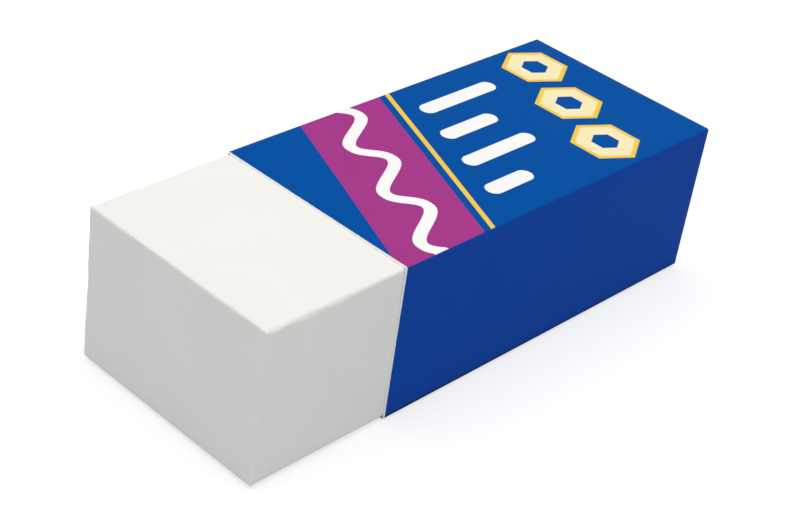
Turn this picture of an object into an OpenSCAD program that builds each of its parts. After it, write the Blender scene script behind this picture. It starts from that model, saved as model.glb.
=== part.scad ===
// Rectangular vinyl eraser in a folded card sleeve.
//
// X runs along the block, from the bare rubbing end (-X) to the sleeved end (+X), Y runs across it
// from the front (-Y) to the back (+Y), and Z is up. The origin is on the surface that the sleeve
// stands on, under the middle of the block. All lengths are in millimetres.

/* [Block] */
// Length of the vinyl block
block_l = 48.5; // [40:0.5:60]
// Width of the vinyl block
block_w = 18.5; // [15:0.5:24]
// Thickness of the vinyl block
block_h = 13; // [9:0.5:16]
// Radius of the four long edges of the block
long_edge_r = 0.3; // [0.2:0.05:1]
// Radius of the edges round both cut ends of the block
cut_edge_r = 0.15; // [0.1:0.05:0.8]

/* [Sleeve] */
// Length of block left bare at the rubbing end
bare_l = 12.8; // [4:0.2:24]
// Thickness of the card
card_t = 0.14; // [0.1:0.01:0.3]
// Inside radius of the folds
fold_r = 0.06; // [0.04:0.01:0.2]
// Play between the block and the card, above it, below it and on each side
slide_gap = 0.02; // [0.01:0.01:0.1]

/* [Glue lap] */
// Width of the glue flap, from the front fold to its free edge
flap_w = 12; // [6:0.5:13]
// Length that the taper takes off each end of the flap at its free edge
flap_taper = 1.5; // [0.5:0.1:3]
// Distance from the front fold to the raw edge of the outer bottom panel
lap_inset = 0.05; // [0.05:0.05:1]

/* [Hidden] */
$fn = 48;

// The block stands on two layers of card, the glue flap and the outer bottom panel
lap_t = 2 * card_t;
block_z = lap_t + slide_gap;

// Outside of the sleeve, worked out from the block that it holds
sleeve_l = block_l - bare_l;
sleeve_w = block_w + 2 * slide_gap + 2 * card_t;
sleeve_h = block_z + block_h + slide_gap + card_t;
sleeve_x = block_l / 2 - sleeve_l;

// Outside radius of the folds, and the middles of their arcs across and up the section
bend_r = fold_r + card_t;
bend_y = sleeve_w / 2 - bend_r;
bend_top_z = sleeve_h - bend_r;

// The front panel stops one card higher than the back one, because the outer panel passes under it
front_bend_z = card_t + bend_r;
raw_edge_y = -bend_y + lap_inset;
flap_edge_y = -sleeve_w / 2 + flap_w;

// Rectangle with true round corners, centred on the origin
module rounded_rect(w, h, r) {
    square([w - 2 * r, h], center = true);
    square([w, h - 2 * r], center = true);
    for (x = [-1, 1], y = [-1, 1])
        translate([x * (w / 2 - r), y * (h / 2 - r)])
            circle(r);
}

// Bar cut to length from a moulded slab: the long edges have the slab's radius, and the edges
// round the two ends the smaller one that the cutting leaves
module eraser_block() {
    color("whitesmoke")
        translate([0, 0, block_z + block_h / 2])
            intersection() {
                rotate([90, 0, 90])
                    linear_extrude(block_l, center = true)
                        rounded_rect(block_w, block_h, long_edge_r);
                rotate([90, 0, 0])
                    linear_extrude(block_w, center = true)
                        rounded_rect(block_l, block_h, cut_edge_r);
                linear_extrude(block_h, center = true)
                    rounded_rect(block_l, block_w, cut_edge_r);
            }
}

// Straight stretch of card in the sleeve's section, between two corners
module panel(low, high) {
    translate(low)
        square(high - low);
}

// Quarter turn of card about a fold. At a turn of 0 it joins a panel on its right to one on top
module fold(middle, turn) {
    translate(middle)
        rotate(turn)
            intersection() {
                difference() {
                    circle(bend_r);
                    circle(fold_r);
                }
                square(bend_r);
            }
}

// Section across the sleeve: one strip of card from its raw edge under the front, along the
// bottom, up the back, over the top and down the front, to the fold that the glue flap hangs on
module wrap_section() {
    panel([raw_edge_y, 0], [bend_y, card_t]);
    fold([bend_y, bend_r], -90);
    panel([sleeve_w / 2 - card_t, bend_r], [sleeve_w / 2, bend_top_z]);
    fold([bend_y, bend_top_z], 0);
    panel([-bend_y, sleeve_h - card_t], [bend_y, sleeve_h]);
    fold([-bend_y, bend_top_z], 90);
    panel([-sleeve_w / 2, front_bend_z], [-sleeve_w / 2 + card_t, bend_top_z]);
    fold([-bend_y, front_bend_z], 180);
}

// Flap that the outer bottom panel is glued down on. Both its ends taper towards the free edge,
// so that neither shows at the mouth of the sleeve
module glue_flap() {
    translate([0, 0, card_t])
        linear_extrude(card_t)
            polygon([
                [0, -bend_y],
                [sleeve_l, -bend_y],
                [sleeve_l - flap_taper, flap_edge_y],
                [flap_taper, flap_edge_y],
            ]);
}

module card_sleeve() {
    color("mediumblue")
        translate([sleeve_x, 0, 0]) {
            rotate([90, 0, 90])
                linear_extrude(sleeve_l)
                    wrap_section();
            glue_flap();
        }
}

eraser_block();
card_sleeve();
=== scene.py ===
"""Vinyl eraser in a folded card sleeve: both pieces with their finish, a plain studio and a camera.

Settings and meshes are in metres. The patterns in the materials work in millimetres.
"""

import math

import bmesh
import bpy
from bpy.props import FloatProperty, FloatVectorProperty, IntProperty, PointerProperty
from mathutils import Matrix, Vector, noise


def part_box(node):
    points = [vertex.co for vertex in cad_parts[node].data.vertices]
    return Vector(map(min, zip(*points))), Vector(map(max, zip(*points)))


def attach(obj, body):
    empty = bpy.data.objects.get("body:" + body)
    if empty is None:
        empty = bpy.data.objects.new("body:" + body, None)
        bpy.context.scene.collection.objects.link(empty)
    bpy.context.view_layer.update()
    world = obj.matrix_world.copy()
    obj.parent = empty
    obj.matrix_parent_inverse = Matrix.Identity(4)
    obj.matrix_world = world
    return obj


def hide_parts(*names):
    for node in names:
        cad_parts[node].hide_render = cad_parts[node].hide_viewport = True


bl_info = {
    "name": "Sleeved Eraser",
    "version": (1, 0, 0),
    "blender": (4, 5, 0),
    "location": "3D View > Sidebar > Eraser",
    "description": "Makes a vinyl eraser block, its printed card sleeve and a plain studio for them",
    "category": "Object",
}

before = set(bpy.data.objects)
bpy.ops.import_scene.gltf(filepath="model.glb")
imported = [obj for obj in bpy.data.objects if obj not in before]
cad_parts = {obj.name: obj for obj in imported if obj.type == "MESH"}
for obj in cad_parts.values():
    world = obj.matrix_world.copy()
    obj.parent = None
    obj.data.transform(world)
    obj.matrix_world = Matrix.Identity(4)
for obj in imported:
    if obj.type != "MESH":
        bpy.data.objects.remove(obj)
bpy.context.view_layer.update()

MM = 0.001
QUARTER = math.pi / 2

# Material slots of the sleeve.
PRINTED, BOARD, CUT = range(3)

# Shares of light that the flecks in the raw board and in its cut edges return.
BOARD_FLECK = (0.42, 0.37, 0.3)
CUT_FLECK = (0.58, 0.58, 0.58)

# Width in millimetres over which one ink changes to the next.
INK_BLUR = 0.04

block_low, block_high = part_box("eraser_block")
sleeve_low, sleeve_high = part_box("card_sleeve")

# Beside the block lie one card and the play, and under it two cards and the play.
side_step = block_low.y - sleeve_low.y
under_step = block_low.z - sleeve_low.z
card_t = under_step - side_step
play = side_step - card_t


# ---------------------------------------------------------------- settings


def length(name, description, default):
    """A length in metres."""
    return FloatProperty(
        name=name, description=description, default=default, min=0.0, precision=6, unit="LENGTH"
    )


def amount(name, description, default, low=0.0, high=1.0):
    """A plain number between two limits."""
    return FloatProperty(
        name=name, description=description, default=default, min=low, max=high, subtype="FACTOR"
    )


def angle(name, description, degrees):
    """An angle, given in degrees and kept in radians."""
    return FloatProperty(
        name=name, description=description, default=math.radians(degrees), subtype="ANGLE"
    )


def linear(level):
    """The share of light that a level from 0 to 255 on a screen stands for."""
    shown = level / 255
    return shown / 12.92 if shown <= 0.04045 else ((shown + 0.055) / 1.055) ** 2.4


def colour(name, description, *levels):
    """A colour, given as its red, green and blue levels on a screen and kept as shares of light."""
    return FloatVectorProperty(
        name=name,
        description=description,
        default=[linear(level) for level in levels],
        min=0.0,
        max=1.0,
        size=3,
        subtype="COLOR",
    )


class EraserBlockSettings(bpy.types.PropertyGroup):
    """Sizes and colours of the vinyl block."""

    long_edge: length("Long edges", "Radius of the four long edges", 0.3 * MM)
    cut_edge: length("Cut edges", "Radius of the edges round both cut ends", 0.15 * MM)
    pitch: length("Mesh pitch", "Width of a mesh face on the flats", 0.35 * MM)
    edge_steps: IntProperty(
        name="Edge steps", description="Mesh faces in half of a rounded edge", default=3, min=1
    )
    rim: length("Rim", "Width of the finer faces beside each edge", 0.3 * MM)
    crisp: amount("Crisp", "Radius of an unworn edge, as a share of the nominal one", 0.7)
    wear: amount("Wear", "Most that a worn edge's radius grows, in nominal radii", 3.0, 0.0, 6.0)
    kept: length("Kept", "Length before the sleeve over which the wear fades out", 6 * MM)
    kept_low: length("Kept low", "Height over the underside over which the wear fades out", 2.5 * MM)
    slump: length("Slump", "How far the faces sink in unevenly", 0.006 * MM)
    vinyl: colour("Vinyl", "Colour of the vinyl", 247, 247, 246)
    shade: colour("Shade", "Colour of the faint mottling in the vinyl", 245, 245, 243)
    speck: colour("Speck", "Colour of the few pits and specks", 224, 222, 217)
    roughness: amount("Roughness", "Roughness of the vinyl", 0.62)


class EraserSleeveSettings(bpy.types.PropertyGroup):
    """Sizes and colours of the card that the sleeve is folded from, and a painted shade along its lowest
    folds.
    """

    fold: length("Folds", "Inside radius of the folds", 0.06 * MM)
    flap_width: length("Flap width", "Width of the glue flap from the front fold", 12 * MM)
    flap_taper: length("Flap taper", "Length off each end of the flap at its free edge", 1.5 * MM)
    lap_inset: length("Lap inset", "From the front fold to the raw edge of the lap", 0.05 * MM)
    glue: length("Glue", "Thickness of the glue in the lap", 0.01 * MM)
    bow: length("Bow", "How far the middles of the panels stand out", 0.025 * MM)
    roll: length("Rolled edge", "How far the knife has rolled the mouths' edges in", 0.105 * MM)
    roll_width: length("Rolled width", "Width of the rolled strip beside each mouth", 0.09 * MM)
    shear: length("Shear", "How far the printed face stops short of the inner one", 0.05 * MM)
    grip: length("Grip", "Length beside each mouth where the panels lie close", 2 * MM)
    squeeze: amount("Squeeze", "Share of the play that the panels take up at the mouths", 0.8)
    pitch: length("Mesh pitch", "Width of a mesh face on the panels", 0.6 * MM)
    fold_steps: IntProperty(
        name="Fold steps", description="Mesh faces round each fold", default=6, min=2
    )
    board: colour("Board", "Colour of the unprinted inner face", 226, 222, 211)
    core: colour("Core", "Colour of the cut edges", 245, 245, 245)
    # Painted shade: a dark line along the lowest folds that stands in for the shade under them.
    painted_fold_shade: colour("Painted fold shade", "Colour of the dirt rubbed into the lowest fold", 26, 46, 88)
    fold_shade_height: length("Grime height", "Height of the middle of the dirty line", 0.3 * MM)
    fold_shade_width: length("Grime width", "Width of the dirty line", 0.36 * MM)
    fold_shade_fade: amount("Grime fade", "Share of the dirty line that is gone at the far mouth", 0.7)
    roughness: amount("Roughness", "Roughness of the printed face", 0.42)


class EraserPrintSettings(bpy.types.PropertyGroup):
    """Inks of the sleeve, and sizes of the pattern on its top panel."""

    ground: colour("Ground", "Ink over the top panel", 0, 82, 166)
    side: colour("Side", "Ink over the sides and the bottom", 17, 74, 175)
    purple: colour("Purple", "Ink of the slanting field", 168, 60, 142)
    cream: colour("Cream", "Ink inside the hexagons", 254, 239, 194)
    yellow: colour("Yellow", "Ink of the rims and the thin line", 249, 207, 78)
    white: colour("White", "Colour of the strokes and the wave", 253, 253, 254)
    slant: amount("Slant", "Shift along the sleeve for each length across it", 0.42)
    field_start: length("Field start", "From the mouth to the field, on the middle line", 3.4 * MM)
    field_width: length("Field width", "Width of the field along the sleeve", 8.6 * MM)
    wave_length: length("Wave length", "Length of each turn of the wave in the field", 6.3 * MM)
    wave_height: length("Wave height", "How far the wave swings each way", 1.35 * MM)
    wave_width: length("Wave width", "Width of the wave's line", 1.0 * MM)
    line_gap: length("Line gap", "From the field to the thin line beside it", 0.7 * MM)
    line_width: length("Line width", "Width of the thin line", 0.45 * MM)
    stroke_start: length("Stroke start", "From the mouth to their near ends, on the middle line", 15.6 * MM)
    stroke_lengths: FloatVectorProperty(
        name="Stroke lengths",
        description="Lengths between the middles of each stroke's ends, from the back to the front",
        default=(7.0 * MM, 4.6 * MM, 6.4 * MM, 3.4 * MM),
        min=0.0,
        precision=6,
        size=4,
        unit="LENGTH",
    )
    stroke_width: length("Stroke width", "Width of each stroke", 1.5 * MM)
    stroke_pitch: length("Stroke pitch", "From one stroke to the next", 3.8 * MM)
    hexagon_place: length("Hexagon place", "From the mouth to the middle hexagon", 28.8 * MM)
    hexagon_width: length("Hexagon width", "Width of a hexagon between two flats", 5.2 * MM)
    hexagon_pitch: length("Hexagon pitch", "From one hexagon to the next, across", 5.85 * MM)
    hexagon_inside: amount("Hexagon inside", "Width inside the rim, as a share of the whole", 0.86)
    hexagon_eye: amount("Hexagon eye", "Width of the middle, as a share of the whole", 0.4)


class EraserStageSettings(bpy.types.PropertyGroup):
    """The floor, the light and the camera."""

    floor: colour("Floor", "Colour of the floor", 235, 236, 240)
    floor_size: length("Floor size", "Side of the square floor", 8.0)
    floor_drop: length("Floor drop", "From the underside of the sleeve down to the floor", 0.01 * MM)
    bounce: amount("Bounce", "Share of the floor's colour that lights the object", 0.73)
    seen: amount("Seen", "Share of the floor's colour that the camera sees, with the shadow", 0.52)
    lift: amount("Lift", "How much the floor is lightened where the camera sees it", 0.62)
    sky: amount("Sky", "Strength of the even light from all round", 0.45)
    lamp: amount("Lamp", "Strength of the overhead lamp", 1.72, 0.0, 10.0)
    lamp_tint: colour("Lamp tint", "Colour of the overhead lamp", 255, 253, 247)
    lamp_spread: angle("Lamp spread", "Width of the overhead lamp", 70)
    lamp_height: angle("Lamp height", "Height of the lamp above the horizon", 84)
    lamp_bearing: angle("Lamp bearing", "Bearing of the lamp, turning from the front", -45)
    bearing: angle("Bearing", "Bearing of the camera, turning from the front", -50.25)
    height: angle("Height", "Height of the camera above the horizon", 32.57)
    roll: angle("Roll", "Turn of the camera about its own axis", 8.67)
    distance: length("Distance", "From the camera to the point it looks at", 136.7 * MM)
    look_at: FloatVectorProperty(
        name="Look at",
        description="The point that the camera looks at",
        default=(-2.1 * MM, -0.8 * MM, 6.5 * MM),
        precision=6,
        size=3,
        subtype="TRANSLATION",
        unit="LENGTH",
    )
    lens: FloatProperty(
        name="Lens", description="Focal length in millimetres", default=80.2, min=1.0, unit="CAMERA"
    )


# ---------------------------------------------------------------- materials


class Value:
    """A socket in a material's node tree, on which sums are written as on a number."""

    def __init__(self, tree, socket=None):
        self.tree = tree
        self.socket = socket

    def node(self, kind, settings=None, inputs=None, output=0):
        """Adds a node, sets it, then fills its sockets with values or links. Returns one output."""
        made = self.tree.nodes.new(kind)
        for name, setting in (settings or {}).items():
            setattr(made, name, setting)
        for name, value in (inputs or {}).items():
            if isinstance(value, Value):
                self.tree.links.new(value.socket, made.inputs[name])
            else:
                made.inputs[name].default_value = value
        return Value(self.tree, made.outputs[output]) if made.outputs else None

    def sum(self, operation, *terms):
        """Adds a Math node that works on the terms in order."""
        return self.node("ShaderNodeMath", {"operation": operation}, dict(enumerate(terms)))

    def __add__(self, other):
        return self.sum("ADD", self, other)

    def __radd__(self, other):
        return self.sum("ADD", other, self)

    def __sub__(self, other):
        return self.sum("SUBTRACT", self, other)

    def __rsub__(self, other):
        return self.sum("SUBTRACT", other, self)

    def __mul__(self, other):
        return self.sum("MULTIPLY", self, other)

    def __rmul__(self, other):
        return self.sum("MULTIPLY", other, self)

    def __truediv__(self, other):
        return self.sum("DIVIDE", self, other)

    def __rtruediv__(self, other):
        return self.sum("DIVIDE", other, self)

    def __abs__(self):
        return self.sum("ABSOLUTE", self)

    def least(self, other):
        return self.sum("MINIMUM", self, other)

    def most(self, other):
        return self.sum("MAXIMUM", self, other)

    def root(self):
        return self.sum("SQRT", self)

    def sine(self):
        return self.sum("SINE", self)

    def cosine(self):
        return self.sum("COSINE", self)

    def below(self, edge, blur=INK_BLUR):
        """1 where this is under edge and 0 where it is over, changing over blur."""
        ends = {"Value": self, "From Min": edge - blur / 2, "From Max": edge + blur / 2}
        return self.node("ShaderNodeMapRange", {}, {**ends, "To Min": 1.0, "To Max": 0.0})

    def stretched(self, low, high):
        """This from low to high as 0 to 1, smoothly."""
        settings = {"interpolation_type": "SMOOTHSTEP"}
        return self.node(
            "ShaderNodeMapRange", settings, {"Value": self, "From Min": low, "From Max": high}
        )

    def tint(self, under, over):
        """The colour under where this is 0, and the colour over where it is 1."""
        settings = {"data_type": "RGBA"}
        return self.node("ShaderNodeMix", settings, {0: self, 6: solid(under), 7: solid(over)}, 2)


def solid(value):
    """A colour with its alpha, or a Value as it is."""
    return value if isinstance(value, Value) else (*value, 1.0)


def dimmed(tone, share):
    """That share of a colour's light."""
    return [share * part for part in tone]


def noise_of(place, scale, detail=2.0, distortion=0.0):
    """Noise from 0 to 1 with scale lumps to the millimetre."""
    inputs = {"Vector": place, "Scale": scale, "Detail": detail, "Distortion": distortion}
    return place.node("ShaderNodeTexNoise", {}, inputs)


def millimetres(tree):
    """The place on the piece, in millimetres."""
    place = Value(tree).node("ShaderNodeTexCoord", output="Object")
    return place.node("ShaderNodeVectorMath", {"operation": "SCALE"}, {0: place, "Scale": 1 / MM})


def surface(name, **constants):
    """A material with one Principled shader. Returns it, its tree and a function that links it."""
    material = bpy.data.materials.new(name)
    material.use_nodes = True
    shader = material.node_tree.nodes["Principled BSDF"]
    for socket, value in constants.items():
        shader.inputs[socket.replace("_", " ")].default_value = value

    def link(socket, value):
        material.node_tree.links.new(value.socket, shader.inputs[socket])

    return material, material.node_tree, link


def bumped(height, depth):
    """A normal that follows height as relief, where a height of 1 is that depth in metres."""
    return height.node("ShaderNodeBump", {}, {"Height": height, "Distance": depth})


def vinyl_material(s):
    """Matte white vinyl: faint mottling, a fine grain and a few pits and specks."""
    material, tree, link = surface("white vinyl", Specular_IOR_Level=0.35)
    place = millimetres(tree)
    cloud = noise_of(place, scale=0.22, detail=3.0, distortion=0.6).stretched(0.3, 0.7)
    grain = noise_of(place, scale=5.5, detail=4.0)

    # Each cell can hold one pit, at its middle, and only some of the cells do.
    cells = {"Vector": place, "Scale": 0.42}
    pit_radius = 0.045
    share_with_pits = 0.2
    from_middle = place.node("ShaderNodeTexVoronoi", {}, cells, "Distance")
    tone = place.node("ShaderNodeTexVoronoi", {}, cells, "Color")
    chosen = tone.node("ShaderNodeSeparateColor", {}, {0: tone}).below(share_with_pits, blur=0.02)
    pit = from_middle.below(pit_radius, blur=0.03) * chosen

    mottled = cloud.tint(s.shade, s.vinyl)
    relief = 0.5 * grain + 0.35 * cloud - 0.8 * pit
    link("Base Color", pit.tint(mottled, s.speck))
    link("Roughness", s.roughness + 0.1 * grain)
    link("Normal", bumped(relief, depth=0.02 * MM))
    return material


def print_colour(u, across, half_width, p):
    """Inks of the printed face, from the place along the sleeve and across its top panel."""
    # The field and the thin line, both slanting.
    ahead = u - p.slant * across
    middle = (p.field_start + p.field_width / 2) / MM
    field = abs(ahead - middle).below(p.field_width / 2 / MM)
    line_place = (p.field_start + p.field_width + p.line_gap + p.line_width / 2) / MM
    line = abs(ahead - line_place).below(p.line_width / 2 / MM)

    # The wave keeps its width where it leans, so the distance along the sleeve is squared up.
    turns = 2 * math.pi / (p.wave_length / MM)
    swing = p.wave_height / MM
    lean = p.slant + swing * turns * (across * turns).cosine()
    from_wave = abs(ahead - middle - swing * (across * turns).sine()) / (1 + lean * lean).root()
    inks = field.tint(p.ground, p.purple)
    inks = from_wave.below(p.wave_width / 2 / MM).tint(inks, p.white)
    inks = line.tint(inks, p.yellow)

    # Strokes with round ends.
    middle_row = (len(p.stroke_lengths) - 1) / 2
    for row, stroke_length in enumerate(p.stroke_lengths):
        half = stroke_length / 2 / MM
        level = (middle_row - row) * p.stroke_pitch / MM
        start = p.stroke_start / MM + p.slant * level
        beyond = (abs(u - (start + half)) - half).most(0.0)
        aside = across - level
        reach = (beyond * beyond + aside * aside).root()
        inks = reach.below(p.stroke_width / 2 / MM).tint(inks, p.white)

    # Hexagons with a rim and an eye, each with two flats across the sleeve.
    pitch = p.hexagon_pitch / MM
    half = p.hexagon_width / 2 / MM
    turn = math.pi / 3
    rings = ((1.0, p.yellow), (p.hexagon_inside, p.cream), (p.hexagon_eye, p.ground))
    for level in (-pitch, 0.0, pitch):
        along = abs(u - p.hexagon_place / MM - p.slant * level)
        spread = along.most(math.cos(turn) * along + math.sin(turn) * abs(across - level))
        for share, ink in rings:
            inks = spread.below(share * half).tint(inks, ink)

    on_top = abs(across).below(half_width)
    return on_top.tint(p.side, inks)


def print_material(s, p, top_middle, half_width):
    """Coated board with a satin print, laid out on the flat blank: u along the sleeve, v round it."""
    material, tree, link = surface("printed card", Specular_IOR_Level=0.02)
    blank = Value(tree).node("ShaderNodeUVMap", {"uv_map": "blank"})
    u = blank.node("ShaderNodeSeparateXYZ", {}, {0: blank}, "X")
    v = blank.node("ShaderNodeSeparateXYZ", {}, {0: blank}, "Y")
    place = millimetres(tree)
    fibre = noise_of(place, scale=3.0, detail=5.0)
    cloud = noise_of(place, scale=0.3)

    # The inks lie a little darker in places.
    inks = print_colour(u, top_middle - v, half_width, p)
    lay = (0.94 + 0.12 * cloud).least(1.0)
    multiply = {"data_type": "RGBA", "blend_type": "MULTIPLY"}
    shaded = inks.node("ShaderNodeMix", multiply, {0: 1.0, 6: inks, 7: lay}, 2)

    # Painted shade: a dark line along the lowest folds, standing in for the shade under them, which fades
    # towards the far mouth.
    sleeve_length = (sleeve_high.x - sleeve_low.x) / MM
    height = place.node("ShaderNodeSeparateXYZ", {}, {0: place}, "Z")
    line = abs(height - s.fold_shade_height / MM).below(s.fold_shade_width / 2 / MM, blur=0.12)
    painted_shade = line * (1.0 - s.fold_shade_fade / sleeve_length * u)
    with_painted_shade = painted_shade.tint(shaded, s.painted_fold_shade)

    # The knife leaves an uneven strip without ink beside each mouth.
    from_mouth = u.least(sleeve_length - u)
    strip = (s.shear + s.roll_width) / MM
    uninked = from_mouth.below((0.6 + 0.34 * fibre) * strip, blur=0.02)
    link("Base Color", uninked.tint(with_painted_shade, s.core))
    link("Roughness", s.roughness + 0.12 * fibre)
    link("Normal", bumped(fibre, depth=0.006 * MM))
    return material


def board_material(name, base, fleck_tone):
    """Uncoated board: soft fibres and the odd darker fleck."""
    material, tree, link = surface(name, Specular_IOR_Level=0.2)
    place = millimetres(tree)
    fibre = noise_of(place, scale=2.4, detail=6.0, distortion=1.2)
    fleck = noise_of(place, scale=1.1, detail=3.0).stretched(0.66, 0.74)
    fibrous = fibre.stretched(0.3, 0.7).tint(dimmed(base, 0.93), base)
    link("Base Color", (0.5 * fleck).tint(fibrous, fleck_tone))
    link("Roughness", 0.82 + 0.12 * fibre)
    link("Normal", bumped(fibre, depth=0.015 * MM))
    return material


# ---------------------------------------------------------------- meshes


def add_piece(name, bm, materials):
    """Makes an object of the mesh, in the scene, with its faces facing out."""
    bmesh.ops.recalc_face_normals(bm, faces=bm.faces)
    mesh = bpy.data.meshes.new(name)
    bm.to_mesh(mesh)
    bm.free()
    for material in materials:
        mesh.materials.append(material)
    piece = bpy.data.objects.new(name, mesh)
    bpy.context.scene.collection.objects.link(piece)
    return piece


def ripple(point, lumps, seed):
    """Smooth noise from 0 to 1 at a point in metres, with that many lumps to the millimetre."""
    return 0.5 + 0.5 * noise.noise(Vector(point) * (lumps / MM) + Vector((seed, 0.0, 0.0)))


def stations(half, radius, s):
    """Grid places along one side of a rounded box: finer over its edges and rims than between."""
    rim_shares = (0.3, 0.55, 0.8, 1.0)
    flat = half - radius
    core = flat - s.rim
    count = max(1, round(2 * core / s.pitch))
    inner = [core * (2 * i / count - 1) for i in range(count + 1)]
    edge = [core + s.rim * share for share in rim_shares]
    turns = [QUARTER / 2 * (i + 1) / s.edge_steps for i in range(s.edge_steps)]
    edge += [flat + radius * math.tan(turn) for turn in turns]
    return [-e for e in reversed(edge)] + inner + edge


def block_mesh(low, high, s):
    """Rounded box on a grid, with unevenly worn edges and faces that sink in a little."""
    half = (high - low) / 2
    middle = (high + low) / 2
    radii = Vector((s.cut_edge, s.long_edge, s.long_edge))
    mouth = sleeve_low.x - middle.x
    lines = [stations(half[i], radii[i], s) for i in range(3)]
    last = [len(line) - 1 for line in lines]
    bm = bmesh.new()
    made = {}

    def worn_radii(place):
        """Radii at a place: the cut edges' at the ends, the long edges' between, both uneven."""
        from_end = min(1.0, (half.x - abs(place.x)) / (2 * s.rim))
        long_edge = s.cut_edge + (s.long_edge - s.cut_edge) * from_end
        # Only the bare end is worn, and less towards the sleeve and the underside.
        bare = min(1.0, max(0.0, (mouth - place.x) / s.kept))
        rubbed = bare * min(1.0, (half.z + place.z) / s.kept_low)
        uneven = ripple(place, lumps=0.35, seed=3.0) * ripple(place, lumps=0.9, seed=8.0)
        return (s.crisp + s.wear * rubbed * uneven) * Vector((s.cut_edge, long_edge, long_edge))

    def corner(*index):
        """The vertex at a place on the grid, made the first time that a face asks for it."""
        if index not in made:
            place = Vector(lines[i][index[i]] for i in range(3))
            radius = worn_radii(place)
            core = Vector(
                max(radius[i] - half[i], min(half[i] - radius[i], place[i])) for i in range(3)
            )
            out = Vector((place[i] - core[i]) / radius[i] for i in range(3)).normalized()
            point = core + Vector(out[i] * radius[i] for i in range(3))
            sunk = s.slump * ripple(point, lumps=0.12, seed=21.0)
            made[index] = bm.verts.new(middle + point - sunk * out)
        return made[index]

    for axis in range(3):
        a, b = [i for i in range(3) if i != axis]
        for end in (0, last[axis]):
            for i in range(last[a]):
                for j in range(last[b]):
                    ring = []
                    for di, dj in ((0, 0), (1, 0), (1, 1), (0, 1)):
                        index = [0, 0, 0]
                        index[axis], index[a], index[b] = end, i + di, j + dj
                        ring.append(corner(*index))
                    bm.faces.new(ring).smooth = True
    return bm


def card_line(s):
    """Middle line of the card in the sleeve's section, from the raw edge to the flap's free edge.

    Each sample is a dict: y and z, out (the way the printed face looks), v (distance along the
    card), bow (0 to 1, how far a panel stands out) and flap (0 at the last fold to 1 at the free
    edge). The middle of the top panel and half its width are returned too, along the card.
    """
    half_w = (sleeve_high.y - sleeve_low.y) / 2
    bend = s.fold + card_t
    turn_radius = s.fold + card_t / 2
    bend_y = half_w - bend
    top = sleeve_high.z - bend
    back = top - bend
    front = back - card_t - s.glue
    flap = s.flap_width - bend
    samples = []
    at = Vector((-bend_y + s.lap_inset, sleeve_low.z + card_t / 2))
    heading, v = 0.0, 0.0

    def drop(bow=0.0, flap_share=0.0):
        """Puts a sample where the line has come to."""
        out = Vector((math.sin(heading), -math.cos(heading)))
        samples.append({"y": at.x, "z": at.y, "out": out, "v": v, "bow": bow, "flap": flap_share})

    def straight(distance, bows=False, is_flap=False):
        """Carries the line on along a panel."""
        nonlocal at, v
        count = max(1, round(distance / s.pitch))
        step = distance / count
        for i in range(count):
            at = at + step * Vector((math.cos(heading), math.sin(heading)))
            v += step
            share = (i + 1) / count
            drop(4 * share * (1 - share) if bows else 0.0, share if is_flap else 0.0)

    def fold():
        """Carries the line round a quarter turn."""
        nonlocal at, v, heading
        centre = at + turn_radius * Vector((-math.sin(heading), math.cos(heading)))
        for _ in range(s.fold_steps):
            heading += QUARTER / s.fold_steps
            v += turn_radius * QUARTER / s.fold_steps
            at = centre + turn_radius * Vector((math.sin(heading), -math.cos(heading)))
            drop()

    drop()
    straight(2 * bend_y - s.lap_inset)
    fold()
    straight(back, bows=True)
    fold()
    top_start = v
    straight(2 * bend_y, bows=True)
    top_end = v
    fold()
    straight(front, bows=True)
    fold()
    straight(flap, is_flap=True)
    half_top = (top_end - top_start) / 2 + turn_radius * QUARTER / 2
    return samples, (top_start + top_end) / 2, half_top


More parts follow.
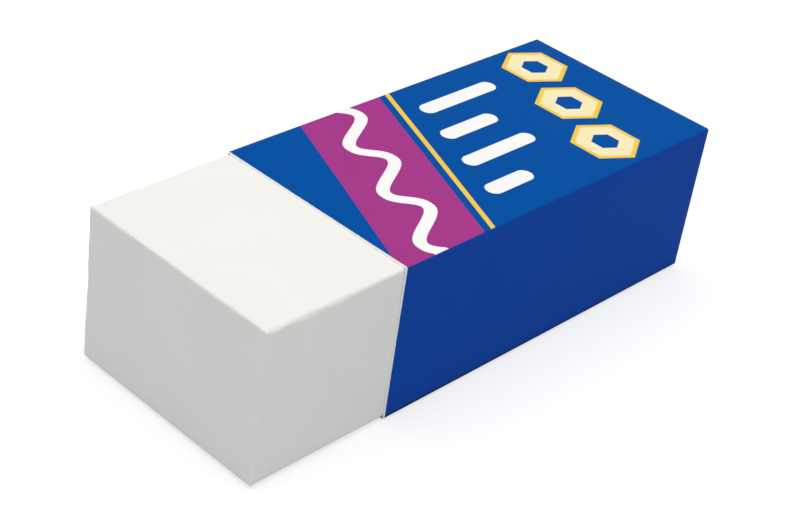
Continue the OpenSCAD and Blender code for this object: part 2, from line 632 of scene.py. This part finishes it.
def sleeve_mesh(s):
    """The folded card as one closed strip: printed face, inner face, mouths and raw edges.

    The middle of the top panel and half its width are returned too, in millimetres on the blank.
    """
    samples, top_middle, half_width = card_line(s)
    low_x, high_x = sleeve_low.x, sleeve_high.x
    count = round((high_x - low_x) / s.pitch)
    roll_shares = (0.0, 0.2, 0.5, 1.0)
    rolled = [s.roll_width * share for share in roll_shares]
    inside = [(high_x - low_x) * i / count for i in range(1, count)]
    places = rolled + inside + [high_x - low_x - place for place in reversed(rolled)]
    columns = len(places) - 1
    bm = bmesh.new()
    blank = bm.loops.layers.uv.new("blank")
    place_on_blank = {}

    def vertex(sample, column, side):
        """A vertex of the printed face, where side is 1, or of the inner face, where it is -1."""
        taper = s.flap_taper * sample["flap"]
        share = places[column] / (high_x - low_x)
        x = low_x + taper + (high_x - low_x - 2 * taper) * share
        from_mouth = min(share, 1 - share) * (high_x - low_x)
        roll = s.roll * max(0.0, 1 - from_mouth / s.roll_width) ** 2 if side > 0 else 0.0
        free = min(1.0, from_mouth / s.grip)
        if side > 0:
            x += s.shear * (1 - 2 * share)
        mid = Vector((x, sample["y"], sample["z"]))
        out = Vector((0.0, sample["out"].x, sample["out"].y))
        bow = s.bow * (0.6 + 0.8 * ripple(mid, lumps=0.09, seed=40.0))
        lift = sample["bow"] * (free * bow - (1 - free) * s.squeeze * play)
        made = bm.verts.new(mid + (lift + side * card_t / 2 - roll) * out)
        place_on_blank[made] = ((x - low_x) / MM, sample["v"] / MM)
        return made

    outer = [[vertex(sample, c, 1) for c in range(columns + 1)] for sample in samples]
    inner = [[vertex(sample, c, -1) for c in range(columns + 1)] for sample in samples]

    def face(ring, slot):
        """A face with its material and its place on the blank."""
        made = bm.faces.new(ring)
        made.smooth = True
        made.material_index = slot
        for loop in made.loops:
            loop[blank].uv = place_on_blank[loop.vert]

    for i in range(len(samples) - 1):
        for c in range(columns):
            for slot, sheet in ((PRINTED, outer), (BOARD, inner)):
                face([sheet[i][c], sheet[i][c + 1], sheet[i + 1][c + 1], sheet[i + 1][c]], slot)
        for c in (0, columns):
            face([outer[i][c], outer[i + 1][c], inner[i + 1][c], inner[i][c]], CUT)
    for i in (0, len(samples) - 1):
        for c in range(columns):
            face([outer[i][c], outer[i][c + 1], inner[i][c + 1], inner[i][c]], CUT)

    # The shading breaks where the cut edges meet the two faces.
    for edge in bm.edges:
        slots = {each.material_index for each in edge.link_faces}
        edge.smooth = len(slots) == 1
    return bm, top_middle / MM, half_width / MM


# ---------------------------------------------------------------- studio


def add_floor(s):
    """A wide pale floor, lightened to white where the camera sees it, which keeps the shadow."""
    bm = bmesh.new()
    bmesh.ops.create_grid(bm, x_segments=1, y_segments=1, size=s.floor_size / 2)
    bmesh.ops.translate(bm, verts=bm.verts, vec=(0.0, 0.0, -s.floor_drop))
    material = bpy.data.materials.new("pale floor")
    material.use_nodes = True
    material.node_tree.nodes.clear()
    tree = Value(material.node_tree)
    ray = tree.node("ShaderNodeLightPath", output="Is Camera Ray")
    bounce = tree.node("ShaderNodeBsdfDiffuse", {}, {"Color": solid(dimmed(s.floor, s.bounce))})
    seen = tree.node("ShaderNodeBsdfDiffuse", {}, {"Color": solid(dimmed(s.floor, s.seen))})
    glow = tree.node("ShaderNodeEmission", {}, {"Strength": s.lift})
    lit = tree.node("ShaderNodeAddShader", {}, {0: seen, 1: glow})
    mixed = tree.node("ShaderNodeMixShader", {}, {0: ray, 1: bounce, 2: lit})
    tree.node("ShaderNodeOutputMaterial", {}, {"Surface": mixed})
    add_piece("floor", bm, [material])


def add_sky(s):
    """Even light from all round, which the camera sees as white."""
    world = bpy.data.worlds.new("sky")
    world.use_nodes = True
    world.node_tree.nodes.clear()
    tree = Value(world.node_tree)
    ray = tree.node("ShaderNodeLightPath", output="Is Camera Ray")
    white = solid((1.0, 1.0, 1.0))
    light = tree.node("ShaderNodeBackground", {}, {"Color": white, "Strength": s.sky})
    backdrop = tree.node("ShaderNodeBackground", {}, {"Color": white, "Strength": 1.0})
    mixed = tree.node("ShaderNodeMixShader", {}, {0: ray, 1: light, 2: backdrop})
    tree.node("ShaderNodeOutputWorld", {}, {"Surface": mixed})
    bpy.context.scene.world = world


def direction(bearing, height):
    """The way to a point at that bearing, turning from the front, and height above the horizon."""
    across = math.cos(height)
    return Vector((math.sin(bearing) * across, -math.cos(bearing) * across, math.sin(height)))


def add_lamp(s):
    """One very wide overhead lamp, far away, so that its light is even."""
    lamp = bpy.data.lights.new("overhead", "SUN")
    lamp.energy = s.lamp
    lamp.color = s.lamp_tint
    lamp.angle = s.lamp_spread
    made = bpy.data.objects.new("overhead", lamp)
    back = direction(s.lamp_bearing, s.lamp_height)
    made.rotation_euler = (-back).to_track_quat("-Z", "Y").to_euler()
    made.location = back
    bpy.context.scene.collection.objects.link(made)


def add_camera(s):
    """The camera, turned a little about its own axis."""
    camera = bpy.data.cameras.new("camera")
    camera.lens = s.lens
    camera.clip_start = 0.01
    camera.clip_end = 50.0
    made = bpy.data.objects.new("camera", camera)
    back = direction(s.bearing, s.height)
    right = Vector((math.cos(s.bearing), math.sin(s.bearing), 0.0))
    up = back.cross(right)
    turned_right = math.cos(s.roll) * right + math.sin(s.roll) * up
    turned_up = math.cos(s.roll) * up - math.sin(s.roll) * right
    turn = Matrix((turned_right, turned_up, back)).transposed().to_4x4()
    made.matrix_world = Matrix.Translation(Vector(s.look_at) + s.distance * back) @ turn
    bpy.context.scene.collection.objects.link(made)
    bpy.context.scene.camera = made


# ---------------------------------------------------------------- operators


class ERASER_OT_block(bpy.types.Operator):
    """Make the vinyl block"""

    bl_idname = "eraser.block"
    bl_label = "Vinyl block"

    def execute(self, context):
        s = context.scene.eraser_block
        bm = block_mesh(block_low, block_high, s)
        piece = add_piece("vinyl_block", bm, [vinyl_material(s)])
        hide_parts("eraser_block")
        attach(piece, "block")
        return {"FINISHED"}


class ERASER_OT_sleeve(bpy.types.Operator):
    """Make the printed card sleeve"""

    bl_idname = "eraser.sleeve"
    bl_label = "Card sleeve"

    def execute(self, context):
        s = context.scene.eraser_sleeve
        bm, top_middle, half_width = sleeve_mesh(s)
        materials = [
            print_material(s, context.scene.eraser_print, top_middle, half_width),
            board_material("raw board", s.board, BOARD_FLECK),
            board_material("cut card", s.core, CUT_FLECK),
        ]
        piece = add_piece("printed_sleeve", bm, materials)
        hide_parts("card_sleeve")
        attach(piece, "sleeve")
        return {"FINISHED"}


class ERASER_OT_stage(bpy.types.Operator):
    """Make the floor, the light and the camera"""

    bl_idname = "eraser.stage"
    bl_label = "Studio"

    def execute(self, context):
        s = context.scene.eraser_stage
        add_floor(s)
        add_sky(s)
        add_lamp(s)
        add_camera(s)
        context.scene.view_settings.view_transform = "Standard"
        return {"FINISHED"}


class ERASER_PT_panel(bpy.types.Panel):
    """Buttons that make the eraser, and its settings."""

    bl_idname = "ERASER_PT_panel"
    bl_label = "Eraser"
    bl_space_type = "VIEW_3D"
    bl_region_type = "UI"
    bl_category = "Eraser"

    def draw(self, context):
        for operator, groups in STEPS:
            box = self.layout.box()
            box.operator(operator.bl_idname)
            for group in groups:
                settings = getattr(context.scene, group)
                for name in GROUPS[group].__annotations__:
                    box.prop(settings, name)


# Each operator with the groups of settings that it reads.
STEPS = (
    (ERASER_OT_block, ("eraser_block",)),
    (ERASER_OT_sleeve, ("eraser_sleeve", "eraser_print")),
    (ERASER_OT_stage, ("eraser_stage",)),
)
GROUPS = {
    "eraser_block": EraserBlockSettings,
    "eraser_sleeve": EraserSleeveSettings,
    "eraser_print": EraserPrintSettings,
    "eraser_stage": EraserStageSettings,
}
CLASSES = (*GROUPS.values(), *(operator for operator, _ in STEPS), ERASER_PT_panel)


def register():
    """Registers the classes and puts their settings on the scene."""
    for kind in CLASSES:
        bpy.utils.register_class(kind)
    for name, group in GROUPS.items():
        setattr(bpy.types.Scene, name, PointerProperty(type=group))


def unregister():
    """Takes the settings off the scene and unregisters the classes."""
    for name in GROUPS:
        delattr(bpy.types.Scene, name)
    for kind in reversed(CLASSES):
        bpy.utils.unregister_class(kind)


def main():
    """Makes both pieces and the studio."""
    register()
    bpy.ops.eraser.block()
    bpy.ops.eraser.sleeve()
    bpy.ops.eraser.stage()


if __name__ == "__main__":
    main()
